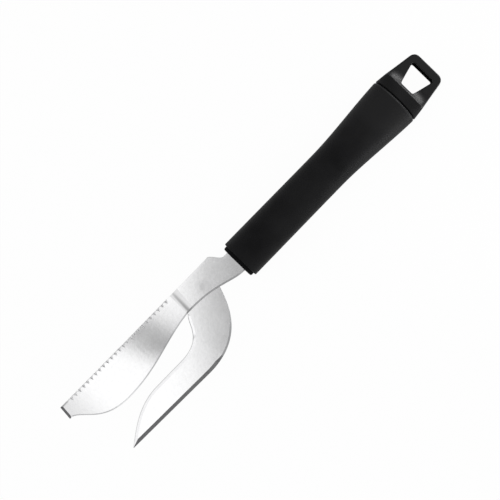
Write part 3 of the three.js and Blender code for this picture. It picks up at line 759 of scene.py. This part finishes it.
def gutting_blade():
    """Flat sheet with sections from the tang to the point, each from the inner edge to the outer one."""
    behind_step = NECK_LENGTH - CROTCH_GAP
    corner, crotch = (behind_step, CROTCH_GAP), (STEP_END, CROTCH_GAP)
    bay = (STEP_END + CROTCH_LENGTH, INNER_EDGE)
    climb = (GUTTER_REACH - POINT_LENGTH, INNER_EDGE)
    heel = (HOOK_ROOT[0] + HOOK_LENGTH, OUTER_EDGE)
    point = (GUTTER_REACH, OUTER_EDGE - POINT_DROP)
    blunt = (GUTTER_REACH, point[1] - POINT_BLUNT)
    fall = (climb[0] - heel[0]) / (point[0] - heel[0])
    opposite = (climb[0], heel[1] + fall * (point[1] - heel[1]))
    hook = curve(HOOK_ROOT, heel, HOOK_CURVE)
    stretches = [
        (curve((-TANG_LENGTH, TANG_BOTTOM), (0, TANG_BOTTOM)),
         curve((-TANG_LENGTH, GUTTER_TANG_TOP), (0, GUTTER_TANG_TOP)), GUTTER_STEPS["tang"]),
        (curve((0, TANG_BOTTOM), (behind_step, TANG_BOTTOM)),
         curve((0, GUTTER_TANG_TOP), HOOK_ROOT), GUTTER_STEPS["neck"]),
        (curve((behind_step, TANG_BOTTOM), corner), part_of(hook, 0, HOOK_SPLITS[0]), CURVE_STEPS // 2),
        (curve(corner, crotch), part_of(hook, *HOOK_SPLITS), CURVE_STEPS // 3),
        (curve(crotch, bay, CROTCH_CURVE), part_of(hook, HOOK_SPLITS[1], 1), CURVE_STEPS),
        (curve(bay, climb), curve(heel, opposite), GUTTER_STEPS["straight"]),
        (curve(climb, blunt, POINT_CURVE), curve(opposite, point), CURVE_STEPS),
    ]
    rings = []
    for order, (inner, outer, steps) in enumerate(stretches):
        for share in np.linspace(0, 1, steps + 1)[0 if order == 0 else 1:]:
            rings.append(gutter_ring(inner[0](share), inner[1](share), outer[0](share), outer[1](share)))
    points, faces = skin(np.array(rings))
    count = len(rings[0])
    inner_ridge, outer_ridge = RIM_STEPS + 1, RIM_STEPS + 2
    marks = []
    for number, face in enumerate(faces[:-2]):
        k = number % count
        x = points[face[0]][0]
        if k == 1:
            # Along the crotch, the bevel's first strip gets a painted shade line
            marks.append(CUT_AND_SHADE_MARK if CROTCH_SHADE_LINE[0] < x < CROTCH_SHADE_LINE[1] else EDGE_MARK)
        elif 1 < k <= RIM_STEPS:
            marks.append(GROUND_MARK)
        elif outer_ridge <= k <= count - 3:
            # Outer rim: painted dark reflection on the bevel, painted shade on the hook's rim before it
            marks.append(DARK_REFLECTION_MARK if x > OUTER_PAINTED_DARK_START else HOOK_RIM_SHADE_MARK)
        else:
            marks.append(SHEET_MARK if k in (inner_ridge, count - 1) else CUT_AND_SHADE_MARK)
    marks += [CUT_AND_SHADE_MARK, CUT_AND_SHADE_MARK]
    made = piece("gutting_blade_steel", points, faces, STEELS, "gutting_blade",
                 marks, flat=True)
    crease(made, lambda here, there: here % count == there % count == inner_ridge)
    crease(made, lambda here, there: (here % count == there % count == outer_ridge
                                      and points[here][0] > OUTER_BEVEL_START))


# Handle

RING = np.linspace(0, 2 * math.pi, RING_POINTS, endpoint=False)


def grip_section(x):
    """Half width and half depth of the grip at a station."""
    front = 1 - smooth(-x, 0, FLARE_START)
    flare = smooth(-x, FLARE_START, FLARE_START + FLARE_LENGTH)
    return [(waist + (GRIP_FRONT - waist) * front + (full - waist) * flare) / 2
            for waist, full in zip(GRIP_WAIST, GRIP_FLARE)]


def oval(x, inset):
    """Ring of points at a station of the grip, at an inset under its surface."""
    width, depth = (half - inset for half in grip_section(x))
    return np.column_stack([np.full(len(RING), x), width * np.cos(RING), depth * np.sin(RING)])


def rounded_rim(end, inward, radius, inset):
    """Rings around a rounded end, from its face to its full width. inward is 1 or -1, the way in along X."""
    turn = np.linspace(0, math.pi / 2, ROUND_STEPS + 1)
    return [oval(end + inward * radius * (1 - math.cos(a)), inset + radius * (1 - math.sin(a)))
            for a in turn]


def grip_sleeve():
    """Soft shell with rounded rims, with a painted highlight on the rear one."""
    front, back = SLEEVE_FRONT - SLEEVE_ROUND, SLEEVE_BACK + SLEEVE_REAR_ROUND
    middle = np.linspace(front, back, SLEEVE_STEPS[0] + 1)[1:-1]
    outside = (rounded_rim(SLEEVE_FRONT, -1, SLEEVE_ROUND, 0)
               + [oval(x, 0) for x in middle]
               + rounded_rim(SLEEVE_BACK, 1, SLEEVE_REAR_ROUND, 0)[::-1])
    inside = [oval(x, SLEEVE_WALL - FIT)
              for x in np.linspace(SLEEVE_BACK, SLEEVE_FRONT, SLEEVE_STEPS[1] + 1)]
    points, faces = skin(np.array(outside + inside), closed=True)
    # Faces of the rear rim, which get the painted highlight
    rear = range((len(outside) - HIGHLIGHT_RINGS) * len(RING), (len(outside) - 1) * len(RING))
    marks = [1 if number in rear else 0 for number in range(len(faces))]
    piece("grip_sleeve_skin", points, faces, [SOFT_PLASTIC, RIM_HIGHLIGHT_PLASTIC], "grip_sleeve",
          marks)


def tang_cutter():
    """Box around both tangs, open at the front of the core."""
    low = np.array([-TANG_LENGTH - FIT, TANG_BOTTOM - FIT, -SHEET - FIT])
    high = np.array([CUTTER_PAST, TANG_TOP + FIT, SHEET + FIT])
    mesh = bpy.data.meshes.new("tang_cutter")
    shape = bmesh.new()
    bmesh.ops.create_cube(shape, size=1)
    for corner in shape.verts:
        corner.co = ORIGIN + ((low + high) / 2 + np.array(corner.co) * (high - low)) * MM
    shape.to_mesh(mesh)
    shape.free()
    cutter = bpy.data.objects.new("tang_cutter", mesh)
    bpy.context.scene.collection.objects.link(cutter)
    return cutter


def handle_spine():
    """Core from the collar to the tail, with the slot for both tangs."""
    stations = np.linspace(-COLLAR_ROUND, TAIL_FRONT, COLLAR_STEPS + 1)[1:]
    rings = rounded_rim(0, -1, COLLAR_ROUND, SLEEVE_WALL) + [oval(x, SLEEVE_WALL) for x in stations]
    points, faces = skin(np.array(rings))
    # The collar gets the painted shade
    core = piece("handle_core_collar", points, faces, [COLLAR_SHADE_PLASTIC], "handle_core")
    cut(core, tang_cutter())


TAIL_WIDTH, TAIL_DEPTH = (half - TAIL_STEP for half in grip_section(SLEEVE_BACK))


def tail_half(x):
    """Half width of the tail at a station."""
    return TAIL_WIDTH + (TAIL_END_HALF - TAIL_WIDTH) * (x - TAIL_FRONT) / (TAIL_END - TAIL_FRONT)


def tail_height(x, y):
    """Top of the tail: the falling oval of the strip, then the scoop, which runs out level with the tab."""
    share = np.clip((TAIL_FRONT - x) / (TAIL_FRONT - STRIP_END), 0, 1)
    depth = TAIL_DEPTH - STRIP_DROP * share
    power = 2 + 2 * (TAIL_SQUARENESS - 1) * share
    dome = depth * np.clip(1 - np.abs(y / TAIL_WIDTH) ** power, 0, 1) ** (1 / power)
    left = np.maximum(1 + (x - STRIP_END) / SCOOP_LENGTH, 0) ** SCOOP_POWER
    near = np.maximum(RIDGE_ROUND - np.abs(left - 1), 0)
    left = np.minimum(left, 1) - near ** 2 / (4 * RIDGE_ROUND)
    return np.minimum(dome, TAB_HALF + (dome - TAB_HALF) * left)


def rounded_loop(corners, rounds, counts):
    """Closed outline with rounded corners. counts gives the points along each side, from half of a corner
    to half of the next one."""
    corners = [np.array(corner, float) for corner in corners]
    sides = []
    for k, count in enumerate(counts):
        here, there = corners[k], corners[(k + 1) % 4]
        along = (there - here) / np.linalg.norm(there - here)
        before, after = corners[k - 1], corners[(k + 2) % 4]
        start, end = here + along * rounds[k], there - along * rounds[(k + 1) % 4]
        back = here + (before - here) / np.linalg.norm(before - here) * rounds[k]
        onward = there + (after - there) / np.linalg.norm(after - there) * rounds[(k + 1) % 4]
        t = np.linspace(0.5, 1, ROUND_STEPS + 1)[:-1, None]
        first = (1 - t) ** 2 * back + 2 * t * (1 - t) * here + t * t * start
        last = (1 - t) ** 2 * onward + 2 * t * (1 - t) * there + t * t * end
        middle = start + (end - start) * np.linspace(0, 1, count)[:, None]
        sides.append(np.vstack([first, middle, last[::-1][:-1]]))
    return np.vstack(sides)


def tapered_loop(front, front_half, rear, rear_half, rounds):
    """Rounded outline with its own half width and corners at the front and at the rear."""
    corners = [(front, -front_half), (front, front_half), (rear, rear_half), (rear, -rear_half)]
    return rounded_loop(corners, (rounds[0], rounds[0], rounds[1], rounds[1]), TAIL_POINTS)


def handle_tail():
    """Tail around the hang hole: columns of points go from the hole's wall over its rounding, the top face
    and the outer rounding, and the underside mirrors them."""
    outer = tapered_loop(TAIL_FRONT, TAIL_WIDTH, TAIL_END, TAIL_END_HALF, (TAIL_FRONT_CORNER, TAIL_CORNER))
    wide = tail_half(HOLE_WIDE_X) - HOLE_SIDE_BAR
    hole = tapered_loop(HOLE_NARROW_X, HOLE_NARROW_HALF, HOLE_WIDE_X, wide, HOLE_CORNERS)
    length = np.linalg.norm(outer - hole, axis=1)
    edge_height = tail_height(outer[:, 0], outer[:, 1])
    ahead = smooth(outer[:, 0], TAIL_FRONT - FRONT_ROUND_LENGTH, TAIL_FRONT)
    most_round = ROUND_LIMIT[0] * edge_height + ROUND_LIMIT[1]
    edge_round = np.minimum(TAB_ROUND + (FRONT_ROUND - TAB_ROUND) * ahead, most_round)
    turn = np.linspace(0, math.pi / 2, TAIL_ROUND_STEPS + 1)
    fall = 1 - np.cos(turn)
    sink = 1 - np.sin(turn)
    columns, drops = [], []
    for k in range(len(turn)):
        columns.append(np.full(len(outer), HOLE_ROUND * fall[k]))
        drops.append(np.full(len(outer), HOLE_ROUND * sink[k]))
    for share in np.linspace(0, 1, TAIL_ROWS + 1)[1:-1]:
        columns.append(HOLE_ROUND + share * (length - edge_round - HOLE_ROUND))
        drops.append(np.zeros(len(outer)))
    for k in reversed(range(len(turn))):
        columns.append(length - edge_round * fall[k])
        drops.append(edge_round * sink[k])
    top = []
    for away, drop in zip(columns, drops):
        flat = hole + (outer - hole) * (away / length)[:, None]
        height = np.maximum(tail_height(flat[:, 0], flat[:, 1]) - drop, LEAST_HEIGHT)
        top.append(np.column_stack([flat, height]))
    top = np.array(top)
    points, faces = skin(np.concatenate([top, top[::-1] * (1, 1, -1)]), closed=True)
    # The hole's wall gets the painted shade
    wall = len(faces) - len(outer)
    marks = [1 if number >= wall else 0 for number in range(len(faces))]
    piece("handle_core_tail", points, faces, [HARD_PLASTIC, HOLE_SHADE_PLASTIC], "handle_core",
          marks)


scaling_blade()
gutting_blade()
grip_sleeve()
handle_spine()
handle_tail()


# Stage: floor, tent and camera, in metres

FLOOR_SIZE = 8.0
FLOOR_GREY = 0.92
FLOOR_WHITE_SHARE = 0.965
TENT_RADIUS = 30.0
TENT_SEGMENTS = (96, 48)
TENT_FOOT = -0.01
WORLD_LIGHT = 0.85

# Places on the tent: a direction from its middle, and how the light passes there, between two cosines to
# that direction, from one factor to another
UP = (0.0, 0.0, 1.0)
ROOF, ROOF_LIGHT = (0.0436, 0.0, 0.9990), (0.9738, 0.9848, 0.93, 1.25)
OPERATOR, OPERATOR_DIM = (0.88, 0.47, 0.0), (0.42, 0.70, 1.0, 0.46)
BRIGHT_SIDE, BRIGHT_LIGHT = (0.6, -0.8, 0.0), (0.45, 0.70, 1.0, 1.20)
REAR, REAR_SHADE = (-0.87, -0.493, 0.0), (0.38, 0.58, 1.0, 0.25)

# Soft dark strip overhead: its directions, and its middle and half sizes in slopes from straight up
DARK_ALONG = (0.6022, 0.7983, 0.0)
DARK_ACROSS = (-0.7983, 0.6022, 0.0)
DARK_MIDDLE = (0.045, -0.0006)
DARK_HALF = 0.261
DARK_SIDES = (0.0340, 0.0885)
DARK_SHADE = (0.18, 1.0, 0.39, 1.0)


def seen(nodes):
    """1 for rays from the camera, mirror-like rays and rays through glass."""
    path = nodes.add("ShaderNodeLightPath")
    either = nodes.math("MAXIMUM", path.outputs["Is Camera Ray"], path.outputs["Is Glossy Ray"])
    return nodes.math("MAXIMUM", either, path.outputs["Is Transmission Ray"])


def floor():
    """Pale paper that is seen white and still takes the shadow."""
    mesh = bpy.data.meshes.new("floor")
    half = FLOOR_SIZE / 2
    corners = [(-half, -half, 0), (half, -half, 0), (half, half, 0), (-half, half, 0)]
    mesh.from_pydata(corners, [], [(0, 1, 2, 3)])
    made = bpy.data.objects.new("floor", mesh)
    bpy.context.scene.collection.objects.link(made)
    material = bpy.data.materials.new("floor_paper")
    nodes = Nodes(material)
    paper = nodes.feed(nodes.add("ShaderNodeBsdfDiffuse"), Color=(FLOOR_GREY, FLOOR_GREY, FLOOR_GREY, 1))
    white = nodes.feed(nodes.add("ShaderNodeEmission"), Color=(1, 1, 1, 1), Strength=1.0)
    mix = nodes.add("ShaderNodeMixShader")
    nodes.join(nodes.math("MULTIPLY", seen(nodes), FLOOR_WHITE_SHARE), mix.inputs[0])
    nodes.join(paper.outputs[0], mix.inputs[1])
    nodes.join(white.outputs[0], mix.inputs[2])
    nodes.join(mix.outputs[0], nodes.add("ShaderNodeOutputMaterial").inputs["Surface"])
    mesh.materials.append(material)


def tent():
    """Half-round light tent. It is white, dimmer on the camera operator's side and behind the handle, with a
    soft dark place overhead."""
    mesh = bpy.data.meshes.new("light_tent")
    shape = bmesh.new()
    sides, levels = TENT_SEGMENTS
    bmesh.ops.create_uvsphere(shape, u_segments=sides, v_segments=levels, radius=TENT_RADIUS)
    bmesh.ops.delete(shape, geom=[v for v in shape.verts if v.co.z < TENT_FOOT], context="VERTS")
    shape.to_mesh(mesh)
    shape.free()
    made = bpy.data.objects.new("light_tent", mesh)
    bpy.context.scene.collection.objects.link(made)
    made.visible_camera = False
    material = bpy.data.materials.new("tent_cloth")
    nodes = Nodes(material)
    place = nodes.add("ShaderNodeTexCoord").outputs["Object"]
    normal = nodes.add("ShaderNodeVectorMath", operation="NORMALIZE")
    nodes.join(place, normal.inputs[0])
    way = normal.outputs[0]
    light = nodes.spread(nodes.dot(way, ROOF), *ROOF_LIGHT, smoothly=True)
    dim = nodes.spread(nodes.dot(way, OPERATOR), *OPERATOR_DIM, smoothly=True)
    bright = nodes.spread(nodes.dot(way, BRIGHT_SIDE), *BRIGHT_LIGHT, smoothly=True)
    shade = nodes.spread(nodes.dot(way, REAR), *REAR_SHADE, smoothly=True)
    up = nodes.dot(way, UP)
    along, across = (
        nodes.math("SUBTRACT", nodes.math("DIVIDE", nodes.dot(way, axis), up), middle)
        for axis, middle in zip((DARK_ALONG, DARK_ACROSS), DARK_MIDDLE)
    )
    along = nodes.math("DIVIDE", along, DARK_HALF)
    left = nodes.math("DIVIDE", across, DARK_SIDES[0])
    right = nodes.math("DIVIDE", across, -DARK_SIDES[1])
    aside = nodes.math("MAXIMUM", left, right)
    away = nodes.math("ADD", nodes.math("MULTIPLY", along, along), nodes.math("MULTIPLY", aside, aside))
    dark = nodes.spread(nodes.math("SQRT", away), *DARK_SHADE, smoothly=True)
    for share in (dim, dark, bright, shade):
        light = nodes.math("MULTIPLY", light, share)
    glow = nodes.add("ShaderNodeEmission")
    nodes.join(light, glow.inputs["Strength"])
    nodes.join(glow.outputs[0], nodes.add("ShaderNodeOutputMaterial").inputs["Surface"])
    mesh.materials.append(material)


def lamp(name, place, target, size, power, spread):
    """Soft lamp at a place, turned to a target, both in millimetres. Its size is in metres, its power in
    watts, and its shutters leave a spread in degrees."""
    data = bpy.data.lights.new(name, "AREA")
    data.shape = "RECTANGLE"
    data.size, data.size_y = size
    data.energy = power
    data.spread = math.radians(spread)
    made = bpy.data.objects.new(name, data)
    bpy.context.scene.collection.objects.link(made)
    made.visible_camera = False
    place, target = (Vector(ORIGIN + np.array(spot) * MM) for spot in (place, target))
    turn = (place - target).to_track_quat("Z", "Y").to_matrix().to_4x4()
    made.matrix_world = Matrix.Translation(place) @ turn


def world():
    """White surroundings that light a little less than they show."""
    made = bpy.data.worlds.new("studio")
    bpy.context.scene.world = made
    nodes = Nodes(made)
    ground = nodes.add("ShaderNodeBackground")
    ground.inputs["Color"].default_value = (1, 1, 1, 1)
    nodes.join(nodes.spread(seen(nodes), 0, 1, WORLD_LIGHT, 1.0), ground.inputs["Strength"])
    nodes.join(ground.outputs[0], nodes.add("ShaderNodeOutputWorld").inputs["Surface"])


# Camera straight above the knife, in millimetres, with the photo's turn
CAMERA_PLACE = (-8.5, 0.18, 525.0)
CAMERA_RIGHT = (-0.69793, 0.71617, 0.0)
CAMERA_UP = (-0.71617, -0.69793, 0.0)
VIEW_WIDTH = 238.65
SENSOR = 36.0


def camera():
    """Camera with a lens that sees VIEW_WIDTH at the height of the blades."""
    data = bpy.data.cameras.new("camera")
    data.sensor_width = SENSOR
    data.lens = SENSOR * CAMERA_PLACE[2] / VIEW_WIDTH
    made = bpy.data.objects.new("camera", data)
    bpy.context.scene.collection.objects.link(made)
    axes = Matrix((CAMERA_RIGHT, CAMERA_UP, UP)).transposed().to_4x4()
    axes.translation = ORIGIN + np.array(CAMERA_PLACE) * MM
    made.matrix_world = axes
    bpy.context.scene.camera = made


floor()
tent()
lamp("tail_lamp", place=(-480, 0, 36), target=(STRIP_END, 0, 6), size=(0.3, 0.05), power=1.1, spread=180)
lamp("side_lamp", place=(-160, 150, 4), target=(-115, 0, 0), size=(0.14, 0.025), power=0.022, spread=55)
world()
camera()
bpy.context.scene.view_settings.view_transform = "Standard"
